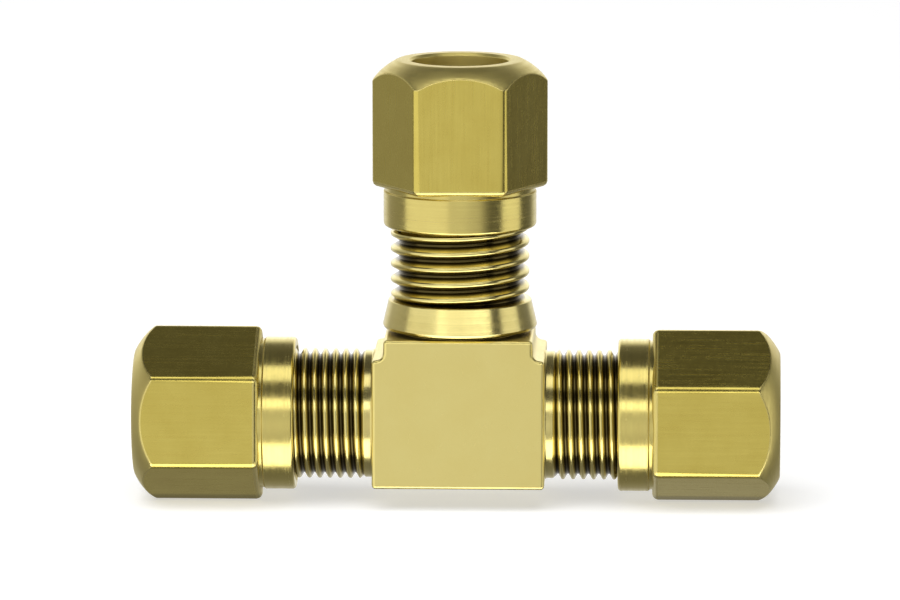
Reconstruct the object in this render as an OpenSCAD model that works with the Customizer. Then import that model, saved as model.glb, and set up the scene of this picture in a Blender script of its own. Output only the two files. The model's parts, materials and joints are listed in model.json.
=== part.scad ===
// Brass union tee, compression type, for 3/8 in plastic air tube.
// A T-shaped block has three threaded stubs. Each stub carries a long hexagon nut, and the nut
// holds a loose tapered sleeve and pushes it onto a conical seat in the mouth of the stub.
// A thin flanged support stands in each tube socket, and the tube slides over it.
// The run lies along X, the branch points up along Z, and the flat front face looks along -Y.
// The origin is the point where the three tube axes meet.

/* [Tube] */
// Outside diameter of the tube that the fitting takes
tube_d = 9.525; // [8:0.005:14]
// Wall thickness of the tube
tube_wall = 1.575; // [1:0.005:2]
// Radial gap between the tube and its socket
socket_gap = 0.11; // [0.08:0.01:0.15]
// Radial gap between the tube and a sleeve before it is pressed
sleeve_bore_gap = 0.06; // [0.05:0.01:0.08]
// Radial gap between the tube and the hole in a nut's end
nut_hole_gap = 0.25; // [0.24:0.01:0.3]

/* [Block] */
// Width of the block along the run
block_w = 17.7; // [14:0.1:24]
// Cover of the block above and below the run thread
bar_cover = 0; // [0:0.05:1]
// Cover of the block in front of and behind the run thread
face_cover = 0.2; // [0:0.05:1]
// Cover of the upright on each side of the branch thread
upright_cover = 0.5; // [0.2:0.05:1]
// Height that the upright rises above the bar of the block
upright_rise = 2.1; // [1.5:0.1:3]
// Radius in the two inner corners between the upright and the bar
corner_r = 0.8; // [0.3:0.1:1.1]

/* [Run stubs] */
// Length of a run stub from the side of the block to its free end
run_stub_len = 14.15; // [12.5:0.05:20]
// Wall between the tube socket and the root of the run thread
run_stub_wall = 1.25; // [1.2:0.05:2]
// Pitch of the run thread, 24 turns to the inch
run_pitch = 1.058; // [0.9:0.001:1.3]
// Plain neck between the block and the first run thread
run_neck_len = 1.3; // [0.8:0.1:2]
// Width of the flared foot where a run neck meets the block, as far as the block's side allows
run_foot = 0.6; // [0.1:0.05:0.8]

/* [Branch stub] */
// Length of the branch stub from the top of the upright to its free end
branch_stub_len = 18.3; // [16:0.1:24]
// Wall between the tube socket and the root of the branch thread
branch_stub_wall = 1.4; // [1.2:0.05:2]
// Pitch of the branch thread, 16 turns to the inch
branch_pitch = 1.588; // [1.3:0.001:1.7]
// Height of the conical neck between the block and the branch thread
branch_neck_len = 3.5; // [2.5:0.1:4]
// Width of the neck's foot beyond the branch thread
branch_foot = 0.8; // [0.5:0.05:0.9]
// Width of the neck's top beyond the branch thread
branch_neck_step = 0.2; // [0.05:0.05:0.4]
// Height of the narrow groove under the branch neck
branch_groove_h = 0.5; // [0.2:0.05:0.8]

/* [Sockets and seats] */
// Depth of each tube socket
socket_depth = 10.5; // [8:0.1:12.5]
// Width of the ledge that stops the tube at the socket's floor
stop_ledge = 1.37; // [0.8:0.01:2]
// Rim left between a seat's mouth and the root of the thread
seat_rim = 0.5; // [0.4:0.05:0.6]
// Slope of the seat from the tube axis, in degrees
seat_slope = 22.5; // [18:0.5:28]

/* [Threads] */
// Height of the thread ridge as a share of its pitch
thread_depth_share = 0.55; // [0.5:0.01:0.6]
// Width of the flat on each thread crest as a share of its pitch
crest_share = 0.125; // [0.1:0.005:0.15]
// Radial gap between a nut's bore and the crests of its stub's thread
thread_gap = 0.08; // [0.05:0.01:0.12]
// Depth of the thread cut into a nut's bore
nut_thread_depth = 0.3; // [0.2:0.05:0.4]

/* [Nuts] */
// Length of a nut's hexagon, with its crowned end
hex_len = 13.15; // [11.5:0.05:16]
// Length of the round skirt on a run nut
run_skirt_len = 3.55; // [2.5:0.05:4.5]
// Length of the round skirt on the branch nut
branch_skirt_len = 4; // [2.5:0.05:5]
// Wall of the skirt outside the widest thread
skirt_wall = 0.34; // [0.3:0.01:1.5]
// Width of the rounded edge at the skirt's free end
skirt_edge = 0.25; // [0.1:0.05:0.3]
// Distance that the hexagon's flats stand out past the skirt
hex_step = 0.07; // [0.05:0.01:1]
// Width of the flat ring round the hole at the nut's tube end
end_ring = 1.39; // [0.8:0.01:1.8]
// Radius of the crown that rounds a nut's tube end
crown_r = 6.75; // [6:0.05:9]
// Slope at which the crown leaves the flat ring, in degrees
crown_start = 25; // [15:1:35]
// Thickness of the wall that the tube passes through
nut_wall = 3.35; // [2.5:0.05:4.5]
// Radial gap between a sleeve and the room for it in the nut
sleeve_room_gap = 0.25; // [0.1:0.05:0.35]
// Turn of the left nut, seen as how far its front flat tips up, in degrees
left_nut_turn = 2.5; // [-30:0.5:30]
// Turn of the right nut, seen as how far its front flat tips down, in degrees
right_nut_turn = 3.5; // [-30:0.5:30]
// Turn of the branch nut toward the right, in degrees
branch_nut_turn = 2; // [-30:0.5:30]

/* [Sleeves] */
// Length of a sleeve
sleeve_len = 6.7; // [5:0.1:9]
// Wall thickness of a sleeve
sleeve_wall = 0.68; // [0.55:0.01:0.75]
// Wall thickness at a sleeve's tapered ends
nose_wall = 0.33; // [0.25:0.01:0.4]
// Distance of the left sleeve from its seat before the nut is tightened
left_seat_gap = 1.5; // [0.5:0.05:1.5]
// Distance of the right sleeve from its seat before the nut is tightened
right_seat_gap = 0.95; // [0.5:0.05:1.5]
// Distance of the branch sleeve from its seat before the nut is tightened
branch_seat_gap = 1.1; // [0.5:0.05:1.5]

/* [Tube supports] */
// Radial gap between a support's flange and the socket
flange_gap = 0.17; // [0.14:0.01:0.4]
// Thickness of a support's flange
flange_t = 0.8; // [0.4:0.05:1.2]
// Radial gap between a support's barrel and the inside of the tube
barrel_gap = 0.04; // [0.02:0.01:0.1]
// Thickness of a support's barrel wall
barrel_wall = 0.4; // [0.25:0.05:0.6]
// Length of a support with its flange
support_len = 11.6; // [8:0.1:14]

/* [Hidden] */

// Gap between faces that rest on each other
face_gap = 0.03;
// Length by which a cutter or a joined piece runs past a face
past = 0.5;
// Share of the pitch that a thread crest takes at its foot
foot_share = 0.86;
// Step from the run thread's crests down to the plain neck
neck_step = 0.12;
// Slope at which the crown's arc ends and runs on straight, in degrees
crown_end = 60;
// Chamfer on the free end of a stub, and on the mouth of a nut
stub_chamfer = 0.25;
mouth_chamfer = 0.5;

// What the tube passes through
socket_r = tube_d / 2 + socket_gap;
sleeve_bore_r = tube_d / 2 + sleeve_bore_gap;
nut_hole_r = tube_d / 2 + nut_hole_gap;
passage_r = socket_r - stop_ledge;
barrel_r = tube_d / 2 - tube_wall - barrel_gap;
flange_r = socket_r - flange_gap;

// Stubs and their threads
run_core_r = socket_r + run_stub_wall;
run_thread_r = run_core_r + thread_depth_share * run_pitch;
branch_core_r = socket_r + branch_stub_wall;
branch_thread_r = branch_core_r + thread_depth_share * branch_pitch;

// Block
block_h = 2 * (run_thread_r + bar_cover);
block_t = 2 * (run_thread_r + face_cover);
upright_w = 2 * (branch_thread_r + upright_cover);
upright_top = block_h / 2 + upright_rise;

// Sleeves and nuts
sleeve_r = sleeve_bore_r + sleeve_wall;
nose_r = sleeve_bore_r + nose_wall;
taper_len = (sleeve_r - nose_r) / tan(seat_slope);
sleeve_room_r = sleeve_r + sleeve_room_gap;
skirt_r = max(run_thread_r, branch_thread_r) + thread_gap + nut_thread_depth + skirt_wall;
hex_flat_r = skirt_r + hex_step;
end_face_r = nut_hole_r + end_ring;

// The three arms, in the order left, right, branch
LEFT = 0;
RIGHT = 1;
BRANCH = 2;
arm_turn = [[0, -90, 0], [0, 90, 0], [0, 0, 0]];
run_stub_end = block_w / 2 + run_stub_len;
stub_end = [run_stub_end, run_stub_end, upright_top + branch_stub_len];
core_r = [run_core_r, run_core_r, branch_core_r];
thread_r = [run_thread_r, run_thread_r, branch_thread_r];
pitch = [run_pitch, run_pitch, branch_pitch];
seat_gap = [left_seat_gap, right_seat_gap, branch_seat_gap];
skirt_len = [run_skirt_len, run_skirt_len, branch_skirt_len];
nut_turn = [left_nut_turn, right_nut_turn, branch_nut_turn];

// Places along an arm, measured from the centre
function seat_r(arm) = core_r[arm] - seat_rim;
function seat_start(arm) = stub_end[arm] - (seat_r(arm) - socket_r) / tan(seat_slope);
function seated_nose(arm) = seat_start(arm) + (nose_r - socket_r) / tan(seat_slope);
function nose_at(arm) = seated_nose(arm) + seat_gap[arm];
function sleeve_back(arm) = nose_at(arm) + sleeve_len;
function hole_start(arm) = sleeve_back(arm) + face_gap + nose_r - nut_hole_r;
function nut_end(arm) = hole_start(arm) + nut_wall;
function hex_start(arm) = nut_end(arm) - hex_len;
function skirt_end(arm) = hex_start(arm) - skirt_len[arm];
function room_start(arm) = stub_end[arm] + seat_gap[arm] + past;
function socket_floor(arm) = stub_end[arm] - socket_depth;

// Number of whole thread crests between two places
function crests(z0, z1, lead) = floor((z1 - z0) / lead);

// Outline of a row of thread crests, for a turned profile. It starts at z0 on the radius foot_r.
function thread_outline(z0, count, lead, foot_r, tip_r) = [
    for (i = [0:count - 1]) each let (
        middle = z0 + (i + 0.5) * lead,
        crest = crest_share * lead / 2,
        foot = foot_share * lead / 2
    ) [
        [foot_r, middle - foot],
        [tip_r, middle - crest],
        [tip_r, middle + crest],
        [foot_r, middle + foot]
    ]
];

module on_arm(arm) {
    rotate(arm_turn[arm])
        children();
}

// The T-shaped block, with a small radius in each inner corner
module block() {
    rotate([90, 0, 0])
        linear_extrude(block_t, center = true) {
            square([block_w, block_h], center = true);
            translate([-upright_w / 2, 0])
                square([upright_w, upright_top]);
            for (side = [-1, 1])
                translate([side * upright_w / 2, block_h / 2])
                    difference() {
                        translate([side > 0 ? -past : -corner_r, -past])
                            square([corner_r + past, corner_r + past]);
                        translate([side * corner_r, corner_r])
                            circle(corner_r, $fn = 48);
                    }
        }
}

// The round of a run stub, with its flared foot and its thread
module run_stub() {
    r = run_core_r;
    neck_r = run_thread_r - neck_step;
    foot = min(run_foot, block_h / 2 - neck_r);
    neck_end = block_w / 2 + run_neck_len;
    thread_end = run_stub_end - stub_chamfer;
    rotate_extrude($fn = 96)
        polygon(concat(
            [
                [0, 0],
                [r, 0],
                [r, block_w / 2 - past],
                [neck_r + foot, block_w / 2 - past],
                [neck_r + foot, block_w / 2],
                [neck_r, block_w / 2 + foot],
                [neck_r, neck_end - (neck_r - r)],
                [r, neck_end]
            ],
            thread_outline(neck_end, crests(neck_end, thread_end, run_pitch), run_pitch,
                           r, run_thread_r),
            [
                [r, thread_end],
                [r - stub_chamfer, run_stub_end],
                [0, run_stub_end]
            ]
        ));
}

// The round of the branch stub, with its conical neck, the groove under it and its thread
module branch_stub() {
    r = branch_core_r;
    neck_end = upright_top + branch_neck_len;
    thread_end = stub_end[BRANCH] - stub_chamfer;
    groove_r = min(branch_thread_r, block_t / 2) - branch_groove_h;
    foot_z = upright_top + branch_groove_h;
    rotate_extrude($fn = 96)
        polygon(concat(
            [
                [0, 0],
                [groove_r, 0],
                [groove_r, upright_top + branch_groove_h / 2],
                [branch_thread_r, foot_z],
                [branch_thread_r + branch_foot, foot_z + branch_groove_h / 2],
                [branch_thread_r + branch_neck_step, neck_end - branch_neck_step],
                [r, neck_end]
            ],
            thread_outline(neck_end, crests(neck_end, thread_end, branch_pitch), branch_pitch,
                           r, branch_thread_r),
            [
                [r, thread_end],
                [r - stub_chamfer, stub_end[BRANCH]],
                [0, stub_end[BRANCH]]
            ]
        ));
}

// What is bored out of one stub: the passage, the tube socket and the conical seat
module stub_bores(arm) {
    rotate_extrude($fn = 96)
        polygon([
            [0, 0],
            [passage_r, 0],
            [passage_r, socket_floor(arm)],
            [socket_r, socket_floor(arm)],
            [socket_r, seat_start(arm)],
            [seat_r(arm), stub_end[arm]],
            [seat_r(arm), stub_end[arm] + past],
            [0, stub_end[arm] + past]
        ]);
}

module tee_body() {
    color([0.80, 0.72, 0.38])
        difference() {
            union() {
                block();
                on_arm(LEFT)
                    run_stub();
                on_arm(RIGHT)
                    run_stub();
                on_arm(BRANCH)
                    branch_stub();
            }
            for (arm = [LEFT, RIGHT, BRANCH])
                on_arm(arm)
                    stub_bores(arm);
        }
}

// The outside of a nut: a hexagon with a crowned end, and a round skirt
module nut_outside(arm) {
    far_r = 2 * hex_flat_r;
    top = nut_end(arm);
    crown = [
        for (slope = [crown_start:5:crown_end]) [
            end_face_r + crown_r * (sin(slope) - sin(crown_start)),
            top - crown_r * (cos(crown_start) - cos(slope))
        ]
    ];
    last = crown[len(crown) - 1];
    rotate([0, 0, nut_turn[arm]])
        intersection() {
            translate([0, 0, hex_start(arm)])
                cylinder(h = hex_len, r = hex_flat_r / cos(30), $fn = 6);
            rotate_extrude($fn = 96)
                polygon(concat(
                    [
                        [0, top]
                    ],
                    crown,
                    [
                        [far_r, last[1] - (far_r - last[0]) * tan(crown_end)],
                        [far_r, hex_start(arm) - far_r],
                        [0, hex_start(arm) - far_r]
                    ]
                ));
        }
    rotate_extrude($fn = 96)
        polygon([
            [0, skirt_end(arm)],
            [skirt_r - skirt_edge, skirt_end(arm)],
            [skirt_r, skirt_end(arm) + skirt_edge],
            [skirt_r, hex_start(arm) + past],
            [0, hex_start(arm) + past]
        ]);
}

// The inside of a nut: the threaded bore, the room for the sleeve, its cone and the tube hole.
// The nut's thread lies wholly outside the crests of the stub's thread.
module nut_inside(arm) {
    bore_r = thread_r[arm] + thread_gap;
    thread_start = skirt_end(arm) + mouth_chamfer;
    rotate_extrude($fn = 96)
        polygon(concat(
            [
                [0, skirt_end(arm) - past],
                [bore_r + mouth_chamfer / 2, skirt_end(arm) - past],
                [bore_r + mouth_chamfer / 2, skirt_end(arm)],
                [bore_r, thread_start]
            ],
            thread_outline(thread_start, crests(thread_start, stub_end[arm], pitch[arm]),
                           pitch[arm], bore_r, bore_r + nut_thread_depth),
            [
                [bore_r, room_start(arm)],
                [sleeve_room_r, room_start(arm)],
                [sleeve_room_r, hole_start(arm) - (sleeve_room_r - nut_hole_r)],
                [nut_hole_r, hole_start(arm)],
                [nut_hole_r, nut_end(arm) + past],
                [0, nut_end(arm) + past]
            ]
        ));
}

module nut(arm) {
    color([0.75, 0.66, 0.32])
        on_arm(arm)
            difference() {
                nut_outside(arm);
                nut_inside(arm);
            }
}

// A loose ring, tapered at both ends, that grips the tube when the nut presses it on the seat
module sleeve(arm) {
    color([0.85, 0.76, 0.45])
        on_arm(arm)
            rotate_extrude($fn = 96)
                polygon([
                    [sleeve_bore_r, nose_at(arm)],
                    [nose_r, nose_at(arm)],
                    [sleeve_r, nose_at(arm) + taper_len],
                    [sleeve_r, sleeve_back(arm) - taper_len],
                    [nose_r, sleeve_back(arm)],
                    [sleeve_bore_r, sleeve_back(arm)]
                ]);
}

// A thin tube with a flange, which stands on the floor of the socket and holds the tube open
module tube_support(arm) {
    floor = socket_floor(arm) + face_gap;
    color([0.88, 0.80, 0.50])
        on_arm(arm)
            rotate_extrude($fn = 96)
                polygon([
                    [barrel_r - barrel_wall, floor],
                    [flange_r, floor],
                    [flange_r, floor + flange_t],
                    [barrel_r, floor + flange_t],
                    [barrel_r, floor + support_len],
                    [barrel_r - barrel_wall, floor + support_len]
                ]);
}

module left_nut() {
    nut(LEFT);
}

module right_nut() {
    nut(RIGHT);
}

module branch_nut() {
    nut(BRANCH);
}

module left_sleeve() {
    sleeve(LEFT);
}

module right_sleeve() {
    sleeve(RIGHT);
}

module branch_sleeve() {
    sleeve(BRANCH);
}

module left_tube_support() {
    tube_support(LEFT);
}

module right_tube_support() {
    tube_support(RIGHT);
}

module branch_tube_support() {
    tube_support(BRANCH);
}

tee_body();
left_nut();
right_nut();
branch_nut();
left_sleeve();
right_sleeve();
branch_sleeve();
left_tube_support();
right_tube_support();
branch_tube_support();
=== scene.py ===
import json
import math

import bpy
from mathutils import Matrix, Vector


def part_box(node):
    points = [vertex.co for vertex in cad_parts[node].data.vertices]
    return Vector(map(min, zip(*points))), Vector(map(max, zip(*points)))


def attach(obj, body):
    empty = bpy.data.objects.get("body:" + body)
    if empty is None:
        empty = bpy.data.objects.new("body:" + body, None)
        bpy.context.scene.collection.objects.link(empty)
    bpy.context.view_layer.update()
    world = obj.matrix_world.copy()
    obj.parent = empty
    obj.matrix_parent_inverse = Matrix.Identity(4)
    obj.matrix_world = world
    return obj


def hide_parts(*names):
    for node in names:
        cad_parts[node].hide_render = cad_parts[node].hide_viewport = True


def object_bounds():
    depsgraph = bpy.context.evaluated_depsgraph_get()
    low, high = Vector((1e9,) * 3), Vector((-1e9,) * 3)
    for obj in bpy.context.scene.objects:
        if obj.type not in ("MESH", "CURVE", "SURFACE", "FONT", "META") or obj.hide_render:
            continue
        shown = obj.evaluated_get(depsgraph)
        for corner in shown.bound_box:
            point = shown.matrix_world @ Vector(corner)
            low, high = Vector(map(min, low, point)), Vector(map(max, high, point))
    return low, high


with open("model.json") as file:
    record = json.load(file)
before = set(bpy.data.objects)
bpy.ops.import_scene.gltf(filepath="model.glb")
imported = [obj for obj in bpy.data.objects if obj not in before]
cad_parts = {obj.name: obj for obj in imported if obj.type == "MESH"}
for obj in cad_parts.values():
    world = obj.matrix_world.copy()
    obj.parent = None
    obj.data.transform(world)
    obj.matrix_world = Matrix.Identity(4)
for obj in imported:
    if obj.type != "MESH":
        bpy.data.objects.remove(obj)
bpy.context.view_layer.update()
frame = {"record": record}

# A brass compression tee. The run lies along X, the branch points up, the flat front faces -Y.
# Pieces are modelled in millimetres with their axis along Z, then turned onto their arm.
MM = 0.001
WELD = 0.0005  # points closer than this are one point, in millimetres
SLIVER = 0.002  # edges shorter than this are merged away after a cut
ROUND = 96  # steps in a full turn

ARMS = ("left", "right", "branch")
ARM_TURN = {"left": (0, -math.pi / 2, 0), "right": (0, math.pi / 2, 0), "branch": (0, 0, 0)}


# ---------------------------------------------------------------- sizes, in millimetres

def arm_span(node, arm):
    """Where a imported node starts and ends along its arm, from the centre of the tee."""
    low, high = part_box(node)
    if arm == "left":
        return -high.x / MM, -low.x / MM
    if arm == "right":
        return low.x / MM, high.x / MM
    return low.z / MM, high.z / MM


def length_of(node, arm):
    start, end = arm_span(node, arm)
    return end - start


record = frame["record"]
ratios = {c["follows"].split("_")[0]: c["ratio"] for c in record["behaviour"]["couplings"]}
ports = {m["name"].split("_")[0]: m for m in record["mounts"] if m["kind"] == "bore"}
body_low, body_high = (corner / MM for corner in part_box("tee_body"))

# The tube and what it passes through
tube_r = 4.7625
socket_r = tube_r + 0.11
hole_r = ports["branch"]["dims"]["r_mm"]
passage_r = socket_r - 1.37
seat_slope = math.radians(22.5)
socket_depth = 10.5

# Stubs: root and crest radii of the threads
CORE = {"left": socket_r + 1.25, "right": socket_r + 1.25, "branch": socket_r + 1.4}
PITCH = {arm: ratios[arm] * 2 * math.pi / MM for arm in ARMS}
CREST = {arm: CORE[arm] + 0.55 * PITCH[arm] for arm in ARMS}

# Block
block_half_w = 8.85
bar_half_h = CREST["right"]
block_half_t = CREST["right"] + 0.2
upright_half_w = CREST["branch"] + 0.5
upright_top = bar_half_h + 2.1
inner_corner_r = 0.8
block_edge_r = 0.38

# Stubs: where they start and end, and the plain neck of each
STUB_START = {"left": block_half_w, "right": block_half_w, "branch": upright_top}
STUB_END = {"left": -body_low.x, "right": body_high.x, "branch": body_high.z}
NECK = {"left": 1.3, "right": 1.3, "branch": 3.5}
seat_rim = 0.5

# Nuts
nut_flat_r = 7.936
skirt_r = 7.866
hex_len = 13.15
end_ring_r = hole_r + 1.39
crown_r = 6.75
crown_start = math.radians(25)
crown_end = math.radians(60)
crown_steps = 10
nut_wall = ports["branch"]["dims"]["length_mm"]
room_r = 5.7525
thread_gap = 0.08
nut_thread_depth = 0.3
corner_edge = 0.6
crown_edge = 0.12  # narrower than a step of the corner edge, or the edges fold over
THREADED = {"left": 8.11, "right": 8.11, "branch": 8.93}
NUT_TURN = {"left": math.radians(2.5), "right": math.radians(3.5), "branch": math.radians(2)}

# Sleeves and supports
sleeve_bore_r = tube_r + 0.06
sleeve_r = sleeve_bore_r + 0.68
sleeve_nose_r = sleeve_bore_r + 0.33
flange_r = socket_r - 0.17
flange_t = 0.8
barrel_r = 3.1475
barrel_bore_r = barrel_r - 0.4


# ---------------------------------------------------------------- modelling steps

def work_on(obj):
    """Selects one object alone and makes it the active one."""
    bpy.ops.object.select_all(action="DESELECT")
    obj.select_set(True)
    bpy.context.view_layer.objects.active = obj


def soften(points, closed=False, steps=4):
    """Rounds each corner that has a third number, which is its radius."""
    count = len(points)
    rounded = []
    for i, point in enumerate(points):
        corner = Vector(point[:2])
        if len(point) == 2 or (not closed and i in (0, count - 1)):
            rounded.append(corner)
            continue
        before = (Vector(points[i - 1][:2]) - corner).normalized()
        after = (Vector(points[(i + 1) % count][:2]) - corner).normalized()
        half = before.angle(after) / 2
        centre = corner + (before + after).normalized() * point[2] / math.sin(half)
        reach = point[2] / math.tan(half)
        start = (corner + before * reach - centre).normalized()
        end = (corner + after * reach - centre).normalized()
        for k in range(steps + 1):
            rounded.append(centre + start.slerp(end, k / steps) * point[2])
    return rounded


def draw(name, outline, closed=False):
    """Draws an outline point by point, as a wire in the XZ plane."""
    points = [Vector((p[0], 0, p[1])) for p in outline]
    if closed:
        points.append(points[0])
    bpy.ops.object.select_all(action="DESELECT")
    bpy.ops.mesh.primitive_plane_add(size=1)
    obj = bpy.context.object
    obj.name = name
    bpy.ops.object.mode_set(mode="EDIT")
    bpy.ops.mesh.merge(type="CENTER")
    bpy.ops.transform.translate(value=points[0])
    for here, there in zip(points, points[1:]):
        bpy.ops.mesh.extrude_vertices_move(TRANSFORM_OT_translate={"value": there - here})
    bpy.ops.mesh.select_all(action="SELECT")
    bpy.ops.mesh.remove_doubles(threshold=WELD)
    bpy.ops.object.mode_set(mode="OBJECT")
    return obj


def face_outwards():
    """In edit mode, merges doubles and turns every face outwards."""
    bpy.ops.mesh.select_all(action="SELECT")
    bpy.ops.mesh.remove_doubles(threshold=WELD)
    bpy.ops.mesh.normals_make_consistent(inside=False)


def turn_on_lathe(name, outline, closed=False):
    """Spins an outline of (radius, height) points round the Z axis."""
    obj = draw(name, outline, closed)
    bpy.ops.object.mode_set(mode="EDIT")
    bpy.ops.mesh.select_all(action="SELECT")
    bpy.ops.mesh.spin(steps=ROUND, angle=2 * math.pi, center=(0, 0, 0), axis=(0, 0, 1))
    face_outwards()
    bpy.ops.object.mode_set(mode="OBJECT")
    return obj


def apply_modifier(obj, kind, **settings):
    modifier = obj.modifiers.new(kind.lower(), kind)
    for key, value in settings.items():
        setattr(modifier, key, value)
    work_on(obj)
    bpy.ops.object.modifier_apply(modifier=modifier.name)


def merge_slivers(obj):
    """Takes out the tiny edges that a cut or a bevel can leave."""
    work_on(obj)
    bpy.ops.object.mode_set(mode="EDIT")
    bpy.ops.mesh.select_all(action="SELECT")
    bpy.ops.mesh.remove_doubles(threshold=SLIVER)
    bpy.ops.mesh.dissolve_degenerate(threshold=SLIVER)
    bpy.ops.object.mode_set(mode="OBJECT")


def combine(obj, other, operation):
    """Joins, cuts or keeps the common part of two solids. The second one is used up."""
    apply_modifier(obj, "BOOLEAN", operation=operation, solver="EXACT", object=other)
    bpy.data.objects.remove(other)
    merge_slivers(obj)


def round_edges(obj, width, segments=4, angle=25):
    apply_modifier(obj, "BEVEL", width=width, segments=segments, limit_method="ANGLE",
                   angle_limit=math.radians(angle), use_clamp_overlap=False)
    merge_slivers(obj)


def thread(name, core, crest, pitch, start, end, lead_in):
    """A right-hand thread: one turn's outline is swept up a helix and trimmed to its length."""
    half_crest = 0.115 * pitch
    half_foot = 0.42 * pitch
    outline = soften([
        (core, 0),
        (core, pitch / 2 - half_foot, 0.08 * pitch),
        (crest, pitch / 2 - half_crest, 0.16 * pitch),
        (crest, pitch / 2 + half_crest, 0.16 * pitch),
        (core, pitch / 2 + half_foot, 0.08 * pitch),
        (core, pitch),
    ], steps=3)
    obj = draw(name, outline)
    turns = math.ceil((end - start) / pitch) + 3
    apply_modifier(obj, "SCREW", axis="Z", angle=2 * math.pi, screw_offset=pitch,
                   iterations=turns, steps=ROUND, render_steps=ROUND)
    bpy.ops.object.mode_set(mode="EDIT")
    bpy.ops.mesh.select_all(action="SELECT")
    bpy.ops.mesh.remove_doubles(threshold=WELD)
    for upper in (False, True):
        bpy.ops.mesh.select_all(action="DESELECT")
        bpy.ops.mesh.select_non_manifold(use_wire=False, use_multi_face=False,
                                         use_non_contiguous=False, use_verts=False)
        bpy.ops.object.mode_set(mode="OBJECT")
        middle = turns * pitch / 2
        for vertex in obj.data.vertices:
            if vertex.select and (vertex.co.z > middle) != upper:
                vertex.select = False
        for edge in obj.data.edges:
            edge.select = edge.select and all(obj.data.vertices[v].select for v in edge.vertices)
        bpy.ops.object.mode_set(mode="EDIT")
        bpy.ops.mesh.extrude_region_move()
        bpy.ops.mesh.merge(type="CENTER")
    bpy.ops.mesh.select_all(action="SELECT")
    bpy.ops.transform.translate(value=(0, 0, start - 1.5 * pitch))
    face_outwards()
    bpy.ops.object.mode_set(mode="OBJECT")
    depth = crest - core
    reach = crest + 1
    trim = turn_on_lathe("trim", [
        (0, start),
        (core, start),
        (reach, start + (reach - core) * lead_in),
        (reach, end - (reach - core) * lead_in),
        (core - 0.25 * depth, end),
        (0, end),
    ])
    combine(obj, trim, "INTERSECT")
    return obj


def put_on_arm(obj, arm, along=0.0):
    """Moves a piece along its axis, then turns the axis onto its arm."""
    obj.location.z = along
    work_on(obj)
    bpy.ops.object.transform_apply(location=True, rotation=True, scale=True)
    obj.rotation_euler = ARM_TURN[arm]
    bpy.ops.object.transform_apply(location=True, rotation=True, scale=True)


def copy_of(obj, name):
    copy = obj.copy()
    copy.data = obj.data.copy()
    copy.name = name
    bpy.context.collection.objects.link(copy)
    return copy


def to_metres(obj, smooth_angle=32):
    """Brings a finished piece to real size and smooths it, with its flat faces kept flat."""
    work_on(obj)
    obj.scale = (MM, MM, MM)
    bpy.ops.object.transform_apply(location=True, rotation=True, scale=True)
    bpy.ops.object.shade_smooth_by_angle(angle=math.radians(smooth_angle))
    apply_modifier(obj, "WEIGHTED_NORMAL", keep_sharp=True, weight=80)


# ---------------------------------------------------------------- body

def make_block():
    """The T-shaped block, with rounded edges and a small radius in each inner corner."""
    right = [
        (block_half_w, -bar_half_h),
        (block_half_w, bar_half_h),
        (upright_half_w, bar_half_h, inner_corner_r),
        (upright_half_w, upright_top),
    ]
    left = [(-p[0], *p[1:]) for p in reversed(right)]
    block = draw("tee_block", soften(right + left, closed=True, steps=8), closed=True)
    bpy.ops.object.mode_set(mode="EDIT")
    bpy.ops.mesh.select_all(action="SELECT")
    bpy.ops.transform.translate(value=(0, -block_half_t, 0))
    bpy.ops.mesh.edge_face_add()
    bpy.ops.mesh.extrude_region_move(TRANSFORM_OT_translate={"value": (0, 2 * block_half_t, 0)})
    face_outwards()
    bpy.ops.object.mode_set(mode="OBJECT")
    round_edges(block, block_edge_r, angle=40)
    return block


def make_run_stub():
    """A run stub from inside the block to its free end: flared foot, plain neck, thread."""
    core, crest, pitch = CORE["right"], CREST["right"], PITCH["right"]
    neck_r = crest - 0.12
    side = block_half_w
    neck_end = side + NECK["right"]
    stub = turn_on_lathe("run_neck", soften([
        (0, 5),
        (core, 5),
        (core, side - block_edge_r),
        (crest - 0.02, side - block_edge_r),
        (crest - 0.02, side + 0.02),
        (neck_r, side + 0.16, 0.1),
        (neck_r, neck_end - (neck_r - core), 0.1),
        (core, neck_end),
        (core, neck_end + 1),
        (0, neck_end + 1),
    ]))
    ridge = thread("run_thread", core, crest, pitch, neck_end - 0.5, STUB_END["right"], 1.0)
    combine(stub, ridge, "UNION")
    return stub


def make_branch_stub():
    """The branch stub: a groove, the conical neck and its coarser thread."""
    core, crest, pitch = CORE["branch"], CREST["branch"], PITCH["branch"]
    neck_end = upright_top + NECK["branch"]
    groove_h = 0.5
    groove_r = min(crest, block_half_t) - groove_h
    foot_z = upright_top + groove_h
    stub = turn_on_lathe("branch_neck", soften([
        (0, 4),
        (groove_r, 4),
        (groove_r, upright_top + 0.3 * groove_h, 0.15),
        (crest + 0.65, foot_z - 0.1, 0.12),
        (crest + 0.8, foot_z + 0.2, 0.12),
        (crest + 0.2, neck_end - 0.2, 0.12),
        (core, neck_end, 0.1),
        (core, neck_end + 1),
        (0, neck_end + 1),
    ]))
    ridge = thread("branch_thread", core, crest, pitch, neck_end - 0.5, STUB_END["branch"], 1.0)
    combine(stub, ridge, "UNION")
    return stub


def make_bore(arm):
    """What is bored out of one stub: the passage, the tube socket and the conical seat."""
    end = STUB_END[arm]
    seat_r = CORE[arm] - seat_rim
    start = 0 if arm == "branch" else -2
    return turn_on_lathe("bore", soften([
        (0, start),
        (passage_r, start),
        (passage_r, end - socket_depth - 0.15),
        (passage_r + 0.15, end - socket_depth),
        (socket_r, end - socket_depth, 0.1),
        (socket_r, end - (seat_r - socket_r) / math.tan(seat_slope), 0.1),
        (seat_r, end),
        (seat_r, end + 1),
        (0, end + 1),
    ]))


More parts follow.
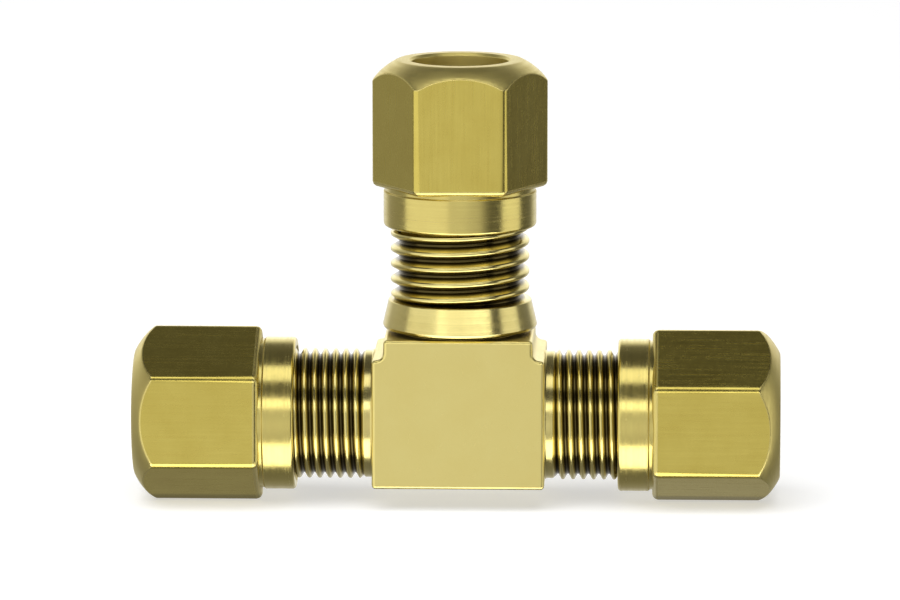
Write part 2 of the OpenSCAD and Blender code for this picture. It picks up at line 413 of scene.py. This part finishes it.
def make_body():
    body = make_block()
    body.name = "tee_block_and_stubs"
    run_stub = make_run_stub()
    stubs = {
        "left": copy_of(run_stub, "left_stub"),
        "right": run_stub,
        "branch": make_branch_stub(),
    }
    for arm, stub in stubs.items():
        put_on_arm(stub, arm)
        combine(body, stub, "UNION")
    for arm in ARMS:
        bore = make_bore(arm)
        put_on_arm(bore, arm)
        combine(body, bore, "DIFFERENCE")
    return body


# ---------------------------------------------------------------- nuts, sleeves and supports

def make_nut(arm, length):
    """A long hexagon nut that stands on its skirt, with its tube end up."""
    bore_r = CREST[arm] + thread_gap
    skirt_len = length - hex_len
    bpy.ops.object.select_all(action="DESELECT")
    bpy.ops.mesh.primitive_cylinder_add(
        vertices=6, radius=nut_flat_r / math.cos(math.pi / 6), depth=hex_len,
        location=(0, 0, skirt_len + hex_len / 2), rotation=(0, 0, math.pi / 6))
    nut = bpy.context.object
    nut.name = "hexagon"
    bpy.ops.object.transform_apply(location=True, rotation=True, scale=True)
    round_edges(nut, corner_edge, segments=3)
    far = 2 * nut_flat_r
    crown = []
    for step in range(crown_steps + 1):
        slope = crown_start + (crown_end - crown_start) * step / crown_steps
        crown.append((end_ring_r + crown_r * (math.sin(slope) - math.sin(crown_start)),
                      length - crown_r * (math.cos(crown_start) - math.cos(slope))))
    last_r, last_z = crown[-1]
    combine(nut, turn_on_lathe("crown", [
        (0, -1),
        (far, -1),
        (far, last_z - (far - last_r) * math.tan(crown_end)),
        *reversed(crown),
        (0, length),
    ]), "INTERSECT")
    round_edges(nut, crown_edge, segments=3, angle=22)
    combine(nut, turn_on_lathe("skirt", soften([
        (0, 0),
        (skirt_r, 0, 0.35),
        (skirt_r, skirt_len - 0.42, 0.08),
        (skirt_r - 0.16, skirt_len - 0.28, 0.08),
        (skirt_r - 0.16, skirt_len + 0.5),
        (0, skirt_len + 0.5),
    ])), "UNION")
    hole_start = length - nut_wall
    combine(nut, turn_on_lathe("nut_bore", soften([
        (0, -1),
        (bore_r + 0.25, -1),
        (bore_r + 0.25, 0.05, 0.1),
        (bore_r, 0.45, 0.2),
        (bore_r, THREADED[arm]),
        (room_r, THREADED[arm]),
        (room_r, hole_start - (room_r - hole_r)),
        (hole_r, hole_start),
        (hole_r, length - 0.25, 0.2),
        (hole_r + 0.32, length + 0.07),
        (hole_r + 0.32, length + 1),
        (0, length + 1),
    ])), "DIFFERENCE")
    tap = thread("tap", bore_r - 0.02, bore_r + nut_thread_depth, PITCH[arm], 0.3,
                 THREADED[arm] - 0.5, 0.6)
    combine(nut, tap, "DIFFERENCE")
    return nut


def make_sleeve(length):
    """A loose ring with a taper at both ends."""
    taper = (sleeve_r - sleeve_nose_r) / math.tan(seat_slope)
    return turn_on_lathe("sleeve", soften([
        (sleeve_bore_r, 0, 0.06),
        (sleeve_nose_r, 0, 0.06),
        (sleeve_r, taper, 0.3),
        (sleeve_r, length - taper, 0.3),
        (sleeve_nose_r, length, 0.06),
        (sleeve_bore_r, length, 0.06),
    ], closed=True), closed=True)


def make_support(length):
    """A thin drawn tube with a flange at its foot."""
    return turn_on_lathe("support", soften([
        (barrel_bore_r, 0, 0.15),
        (flange_r, 0, 0.12),
        (flange_r, flange_t, 0.12),
        (barrel_r, flange_t, 0.25),
        (barrel_r, length, 0.12),
        (barrel_bore_r, length, 0.12),
    ], closed=True), closed=True)


# ---------------------------------------------------------------- materials

def node(tree, kind, **settings):
    made = tree.nodes.new("ShaderNode" + kind)
    for key, value in settings.items():
        if isinstance(key, str) and hasattr(made, key):
            setattr(made, key, value)
        else:
            made.inputs[key.replace("_", " ").title()].default_value = value
    return made


def noise(tree, vector, scale, detail=3.0, roughness=0.55):
    made = node(tree, "TexNoise")
    made.inputs["Scale"].default_value = scale
    made.inputs["Detail"].default_value = detail
    made.inputs["Roughness"].default_value = roughness
    tree.links.new(vector, made.inputs["Vector"])
    return made.outputs["Fac"]


def spread(tree, value, low, high):
    """Stretches a value from 0.3..0.7 to the range that is given."""
    made = node(tree, "MapRange")
    for key, number in (("From Min", 0.3), ("From Max", 0.7), ("To Min", low), ("To Max", high)):
        made.inputs[key].default_value = number
    tree.links.new(value, made.inputs["Value"])
    return made.outputs["Result"]


def blend_colours(tree, factor, first, second):
    made = node(tree, "Mix", data_type="RGBA")
    tree.links.new(factor, made.inputs["Factor"])
    for socket, colour in ((made.inputs["A"], first), (made.inputs["B"], second)):
        if isinstance(colour, tuple):
            socket.default_value = (*colour, 1)
        else:
            tree.links.new(colour, socket)
    return made.outputs["Result"]


def scaled_position(tree, scale):
    """The place on the piece, in metres, with each axis stretched."""
    place = node(tree, "TexCoord").outputs["Object"]
    stretch = node(tree, "VectorMath", operation="MULTIPLY")
    tree.links.new(place, stretch.inputs[0])
    stretch.inputs[1].default_value = scale
    return stretch.outputs["Vector"]


def turned_position(tree, axis):
    """(distance from the axis, distance along it), so that marks run round the axis."""
    across = scaled_position(tree, [0 if i == axis else 1 for i in range(3)])
    radius = node(tree, "VectorMath", operation="LENGTH")
    tree.links.new(across, radius.inputs[0])
    along = node(tree, "VectorMath", operation="DOT_PRODUCT")
    tree.links.new(scaled_position(tree, (1, 1, 1)), along.inputs[0])
    along.inputs[1].default_value = [1 if i == axis else 0 for i in range(3)]
    both = node(tree, "CombineXYZ")
    tree.links.new(radius.outputs["Value"], both.inputs["X"])
    tree.links.new(along.outputs["Value"], both.inputs["Y"])
    return both.outputs["Vector"]


def brass(name, marks, axis=2, colour=(0.78, 0.66, 0.24), deep=(0.66, 0.52, 0.16),
          roughness=(0.18, 0.28), mark_scale=5000, bump=0.12, painted_shade=0.5, mottle=0.45,
          valley=None):
    """Brass with tool marks, and painted shade darkening its hollows. marks is turned, drawn or
    milled, and axis is 0, 1 or 2.

    valley is the (root, crest) radii of a thread whose roots are painted dark as shade."""
    material = bpy.data.materials.new(name)
    material.use_nodes = True
    tree = material.node_tree
    shader = tree.nodes["Principled BSDF"]
    shader.inputs["Metallic"].default_value = 1
    if marks == "turned":
        lines = noise(tree, turned_position(tree, axis), mark_scale, 4)
    elif marks == "drawn":
        lines = noise(tree, scaled_position(tree, [0.03 if i == axis else 1 for i in range(3)]),
                      mark_scale, 4)
    else:
        lines = noise(tree, scaled_position(tree, (1, 1, 1)), mark_scale, 5, 0.7)
    clouds = noise(tree, scaled_position(tree, (1, 1, 1)), 260, 4)
    wear = noise(tree, scaled_position(tree, (1, 1, 1)), 1400, 6, 0.65)

    tone = blend_colours(tree, spread(tree, clouds, 0, mottle), colour, deep)
    tone = blend_colours(tree, spread(tree, lines, 0, 0.22), tone, deep)
    # Painted shade: ambient occlusion darkens the colour towards near black in hollows, creases
    # and bores.
    hollow = node(tree, "AmbientOcclusion", samples=6)
    hollow.inputs["Distance"].default_value = 0.9 * MM
    shade = node(tree, "MapRange")
    for key, number in (("From Min", 0.3), ("From Max", 0.85), ("To Min", painted_shade), ("To Max", 0)):
        shade.inputs[key].default_value = number
    tree.links.new(hollow.outputs["AO"], shade.inputs["Value"])
    tone = blend_colours(tree, shade.outputs["Result"], tone, (0.07, 0.048, 0.014))
    # Painted shade: the colour darkens to near black towards the thread roots, as shade in the
    # grooves.
    if valley:
        root, crest = valley
        parts = node(tree, "SeparateXYZ")
        tree.links.new(turned_position(tree, axis), parts.inputs["Vector"])
        depth = node(tree, "MapRange", interpolation_type="SMOOTHSTEP")
        for key, number in (("From Min", root + 0.12 * (crest - root)),
                            ("From Max", root + 0.72 * (crest - root))):
            depth.inputs[key].default_value = number * MM
        depth.inputs["To Min"].default_value = 0.93
        depth.inputs["To Max"].default_value = 0
        tree.links.new(parts.outputs["X"], depth.inputs["Value"])
        tone = blend_colours(tree, depth.outputs["Result"], tone, (0.05, 0.035, 0.01))
    tree.links.new(tone, shader.inputs["Base Color"])

    low, high = roughness
    rough = node(tree, "Math", operation="ADD")
    tree.links.new(spread(tree, lines, low, high), rough.inputs[0])
    tree.links.new(spread(tree, wear, -0.02, 0.05), rough.inputs[1])
    tree.links.new(rough.outputs["Value"], shader.inputs["Roughness"])

    relief = node(tree, "Bump")
    relief.inputs["Strength"].default_value = bump
    relief.inputs["Distance"].default_value = 0.03 * MM
    tree.links.new(lines, relief.inputs["Height"])
    tree.links.new(relief.outputs["Normal"], shader.inputs["Normal"])
    return material


def give_finish(obj, *finishes):
    """Puts the first material all over, and each later one on the faces its test accepts."""
    obj.data.materials.clear()
    for material, accepts in finishes:
        obj.data.materials.append(material)
    for face in obj.data.polygons:
        for index, (material, accepts) in enumerate(finishes):
            if accepts is None or accepts(face):
                face.material_index = index


def away_from_axis(face, axis):
    """From the axis to the middle of a face."""
    return Vector([0 if i == axis else c for i, c in enumerate(face.center)])


def finish_nut(obj, arm):
    """Drawn lines on the six flats, coarse turned marks on the end and in the bore."""
    axis = 2 if arm == "branch" else 0

    def is_flat(face):
        outside = away_from_axis(face, axis).length > (skirt_r + 0.02) * MM
        return outside and abs(face.normal[axis]) < 0.02

    def is_end(face):
        outside = away_from_axis(face, axis).length > (skirt_r + 0.02) * MM
        facing = face.normal[axis] * (-1 if arm == "left" else 1)
        return facing > 0.3 or (outside and facing < -0.3)

    def is_bored(face):
        return away_from_axis(face, axis).dot(face.normal) < 0

    give_finish(obj, (turned_brass[axis], None), (drawn_brass[axis], is_flat),
                (faced_brass[axis], is_end), (faced_brass[axis], is_bored))


def finish_body(obj):
    """Milled faces on the block, turned marks on the stubs and in the bores."""
    def on_run(face):
        return abs(face.center.x) > (block_half_w + 0.02) * MM

    def on_branch(face):
        return face.center.z > (upright_top + 0.02) * MM

    def in_run_bore(face):
        across = away_from_axis(face, 0)
        return across.length < 0.97 * CORE["right"] * MM and across.dot(face.normal) < 0

    def in_branch_bore(face):
        across = away_from_axis(face, 2)
        return face.center.z > 0 and across.length < 0.97 * CORE["branch"] * MM \
            and across.dot(face.normal) < 0

    give_finish(obj, (milled_brass, None), (thread_brass[0], on_run),
                (thread_brass[2], on_branch), (faced_brass[0], in_run_bore),
                (faced_brass[2], in_branch_bore))


milled_brass = brass("milled_brass", "milled", colour=(0.92, 0.79, 0.295), deep=(0.85, 0.69, 0.22),
                     roughness=(0.26, 0.36), mark_scale=9000, bump=0.10, painted_shade=0.3, mottle=0.3)
drawn_brass = {
    axis: brass(f"drawn_brass_{axis}", "drawn", axis, colour=(0.75, 0.615, 0.147),
                deep=(0.61, 0.47, 0.088), roughness=(0.16, 0.28), mark_scale=4200, bump=0.06)
    for axis in (0, 2)
}
turned_brass = {
    axis: brass(f"turned_brass_{axis}", "turned", axis, colour=(0.78, 0.66, 0.21),
                roughness=(0.14, 0.26), mark_scale=3800, bump=0.10)
    for axis in (0, 2)
}
faced_brass = {
    axis: brass(f"faced_brass_{axis}", "turned", axis, colour=(0.82, 0.70, 0.24),
                roughness=(0.34, 0.44), mark_scale=5200, bump=0.16, painted_shade=0.25)
    for axis in (0, 2)
}
thread_brass = {
    axis: brass(f"thread_brass_{axis}", "turned", axis, colour=(0.82, 0.71, 0.28),
                roughness=(0.14, 0.24), mark_scale=6000, bump=0.05, painted_shade=0.5,
                valley=(CORE[arm], CREST[arm]))
    for axis, arm in ((0, "right"), (2, "branch"))
}


# ---------------------------------------------------------------- the assembly

body = make_body()
to_metres(body)
finish_body(body)
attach(body, "tee_body")
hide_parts("tee_body")

run_nut = make_nut("right", length_of("right_nut", "right"))
nuts = {
    "left": copy_of(run_nut, "left_hexagon_nut"),
    "right": run_nut,
    "branch": make_nut("branch", length_of("branch_nut", "branch")),
}
first_sleeve = make_sleeve(length_of("right_sleeve", "right"))
first_support = make_support(length_of("right_tube_support", "right"))

for arm in ARMS:
    axis = 2 if arm == "branch" else 0
    nut = nuts[arm]
    nut.name = f"{arm}_hexagon_nut"
    nut.rotation_euler.z = NUT_TURN[arm]
    put_on_arm(nut, arm, arm_span(f"{arm}_nut", arm)[0])
    to_metres(nut)
    finish_nut(nut, arm)
    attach(nut, f"{arm}_nut")
    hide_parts(f"{arm}_nut")

    sleeve = copy_of(first_sleeve, f"{arm}_gripping_sleeve")
    put_on_arm(sleeve, arm, arm_span(f"{arm}_sleeve", arm)[0])
    to_metres(sleeve)
    give_finish(sleeve, (turned_brass[axis], None))
    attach(sleeve, f"{arm}_sleeve")
    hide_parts(f"{arm}_sleeve")

    support = copy_of(first_support, f"{arm}_flanged_support")
    put_on_arm(support, arm, arm_span(f"{arm}_tube_support", arm)[0])
    to_metres(support)
    give_finish(support, (turned_brass[axis], None))
    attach(support, f"{arm}_tube_support")
    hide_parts(f"{arm}_tube_support")

bpy.data.objects.remove(first_sleeve)
bpy.data.objects.remove(first_support)


# ---------------------------------------------------------------- studio

CAMERA_AZIMUTH = math.radians(2)
CAMERA_ELEVATION = math.radians(9.5)


def direction(azimuth, elevation):
    """A unit vector from the object. Azimuth 0 is the front, 90 the right, both in degrees."""
    a, e = math.radians(azimuth), math.radians(elevation)
    return Vector((math.sin(a) * math.cos(e), -math.cos(a) * math.cos(e), math.sin(e)))


def glow(name, strength):
    material = bpy.data.materials.new(name)
    material.use_nodes = True
    tree = material.node_tree
    tree.nodes.clear()
    light = tree.nodes.new("ShaderNodeEmission")
    light.inputs["Strength"].default_value = strength
    output = tree.nodes.new("ShaderNodeOutputMaterial")
    tree.links.new(light.outputs["Emission"], output.inputs["Surface"])
    return material


def only_in(obj, *rays):
    """Leaves a stage object visible only to the kinds of ray that are named."""
    for kind in ("camera", "diffuse", "glossy", "transmission", "volume_scatter", "shadow"):
        setattr(obj, "visible_" + kind, kind in rays)


def reflector(name, azimuth, elevation, wide, high, strength, away=0.9):
    """A glowing card that the brass reflects. Its size is in degrees as seen from the object."""
    place = direction(azimuth, elevation) * away
    bpy.ops.object.select_all(action="DESELECT")
    bpy.ops.mesh.primitive_plane_add(size=1, location=place)
    card = bpy.context.object
    card.name = name
    card.scale = (2 * away * math.tan(math.radians(wide / 2)),
                  2 * away * math.tan(math.radians(high / 2)), 1)
    card.rotation_euler = place.to_track_quat("Z", "Y").to_euler()
    card.data.materials.append(glow(name, strength))
    only_in(card, "glossy")
    return card


def make_floor():
    low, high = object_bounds()
    bpy.ops.object.select_all(action="DESELECT")
    bpy.ops.mesh.primitive_circle_add(vertices=64, radius=2.4, fill_type="NGON",
                                      location=(0, 0, low.z))
    floor = bpy.context.object
    floor.name = "floor"
    pale = bpy.data.materials.new("pale_floor")
    pale.use_nodes = True
    shader = pale.node_tree.nodes["Principled BSDF"]
    shader.inputs["Base Color"].default_value = (0.6, 0.6, 0.6, 1)
    shader.inputs["Roughness"].default_value = 0.9
    shader.inputs["Emission Color"].default_value = (1, 1, 1, 1)
    shader.inputs["Emission Strength"].default_value = 0.5
    shader.inputs["Specular IOR Level"].default_value = 0
    floor.data.materials.append(pale)
    floor.visible_glossy = False
    bpy.ops.object.select_all(action="DESELECT")
    bpy.ops.mesh.primitive_uv_sphere_add(segments=48, ring_count=24, radius=2.4)
    dome = bpy.context.object
    dome.name = "backdrop"
    dome.data.materials.append(glow("backdrop_white", 1.0))
    only_in(dome, "camera")


def ramp(tree, value, stops):
    """A grey ramp. Each stop is (position, level), with positions from -1 to 1."""
    place = node(tree, "MapRange")
    place.inputs["From Min"].default_value = -1
    place.inputs["From Max"].default_value = 1
    tree.links.new(value, place.inputs["Value"])
    made = node(tree, "ValToRGB")
    made.color_ramp.interpolation = "EASE"
    elements = made.color_ramp.elements
    while len(elements) > 1:
        elements.remove(elements[-1])
    elements[0].position = (stops[0][0] + 1) / 2
    elements[0].color = (stops[0][1],) * 3 + (1,)
    for position, level in stops[1:]:
        element = elements.new((position + 1) / 2)
        element.color = (level,) * 3 + (1,)
    tree.links.new(place.outputs["Result"], made.inputs["Fac"])
    return made.outputs["Color"]


def make_world():
    """The room that the brass reflects: white behind, dark overhead and on the right."""
    world = bpy.data.worlds.new("studio")
    bpy.context.scene.world = world
    world.use_nodes = True
    tree = world.node_tree
    background = tree.nodes["Background"]
    split = node(tree, "SeparateXYZ")
    tree.links.new(node(tree, "TexCoord").outputs["Generated"], split.inputs["Vector"])
    front = ramp(tree, split.outputs["Z"], [
        (-1, 0.2), (-0.6, 0.6), (-0.17, 0.78), (0.2, 0.6), (0.45, 0.35), (0.6, 0.12),
        (1, 0.08)])
    back = ramp(tree, split.outputs["Z"], [
        (-1, 0.2), (-0.77, 0.3), (-0.5, 0.5), (-0.1, 1.0), (0.15, 1.6), (0.42, 1.2),
        (0.7, 0.16), (1, 0.08)])
    behind = ramp(tree, split.outputs["Y"], [(-0.3, 0), (0.3, 1)])
    sides = ramp(tree, split.outputs["X"], [
        (-1, 0.3), (-0.8, 0.36), (-0.5, 0.85), (0, 1), (0.45, 0.8), (0.75, 0.16), (0.95, 0.12),
        (1, 0.16)])
    room = node(tree, "Mix", data_type="RGBA")
    tree.links.new(behind, room.inputs["Factor"])
    tree.links.new(front, room.inputs["A"])
    tree.links.new(back, room.inputs["B"])
    level = node(tree, "Mix", data_type="RGBA", blend_type="MULTIPLY")
    level.inputs["Factor"].default_value = 1
    tree.links.new(room.outputs["Result"], level.inputs["A"])
    tree.links.new(sides, level.inputs["B"])
    tree.links.new(level.outputs["Result"], background.inputs["Color"])
    world.cycles.sampling_method = "NONE"


def make_floor_light(name, azimuth, elevation, away, size, power):
    """A soft light for the floor alone. The brass takes its light from the cards and the room."""
    place = direction(azimuth, elevation) * away
    bpy.ops.object.light_add(type="AREA", location=place)
    light = bpy.context.object
    light.name = name
    light.data.size = size
    light.data.energy = power
    light.rotation_euler = place.to_track_quat("Z", "Y").to_euler()
    light.visible_camera = False
    light.visible_glossy = False


def make_camera():
    """A long lens, so that lines hardly converge. The picture is 93 mm wide at the object."""
    right = Vector((math.cos(CAMERA_AZIMUTH), math.sin(CAMERA_AZIMUTH), 0))
    back = direction(math.degrees(CAMERA_AZIMUTH), math.degrees(CAMERA_ELEVATION))
    up = back.cross(right)
    lens, sensor, width = 300, 36, 92.98
    target = right * -1.033 * MM + up * 11.746 * MM
    data = bpy.data.cameras.new("camera")
    data.lens = lens
    data.sensor_width = sensor
    data.clip_start = 0.01
    data.clip_end = 10
    camera = bpy.data.objects.new("camera", data)
    camera.location = target + back * width * MM * lens / sensor
    camera.rotation_euler = (-back).to_track_quat("-Z", "Y").to_euler()
    bpy.context.collection.objects.link(camera)
    bpy.context.scene.camera = camera


make_world()
make_floor()
reflector("low_front_card", 0, -58, 100, 40, 2.8)
reflector("upper_front_card", -4, 24, 105, 15, 1.9)
reflector("left_card", -52, -8, 72, 60, 1.0)
reflector("right_card", 86, -8, 36, 60, 1.0)
reflector("overhead_front_card", 0, 72, 70, 26, 1.4)
make_floor_light("top_light", -20, 65, 1.4, 1.6, 26)
make_camera()
bpy.context.scene.view_settings.view_transform = "Standard"
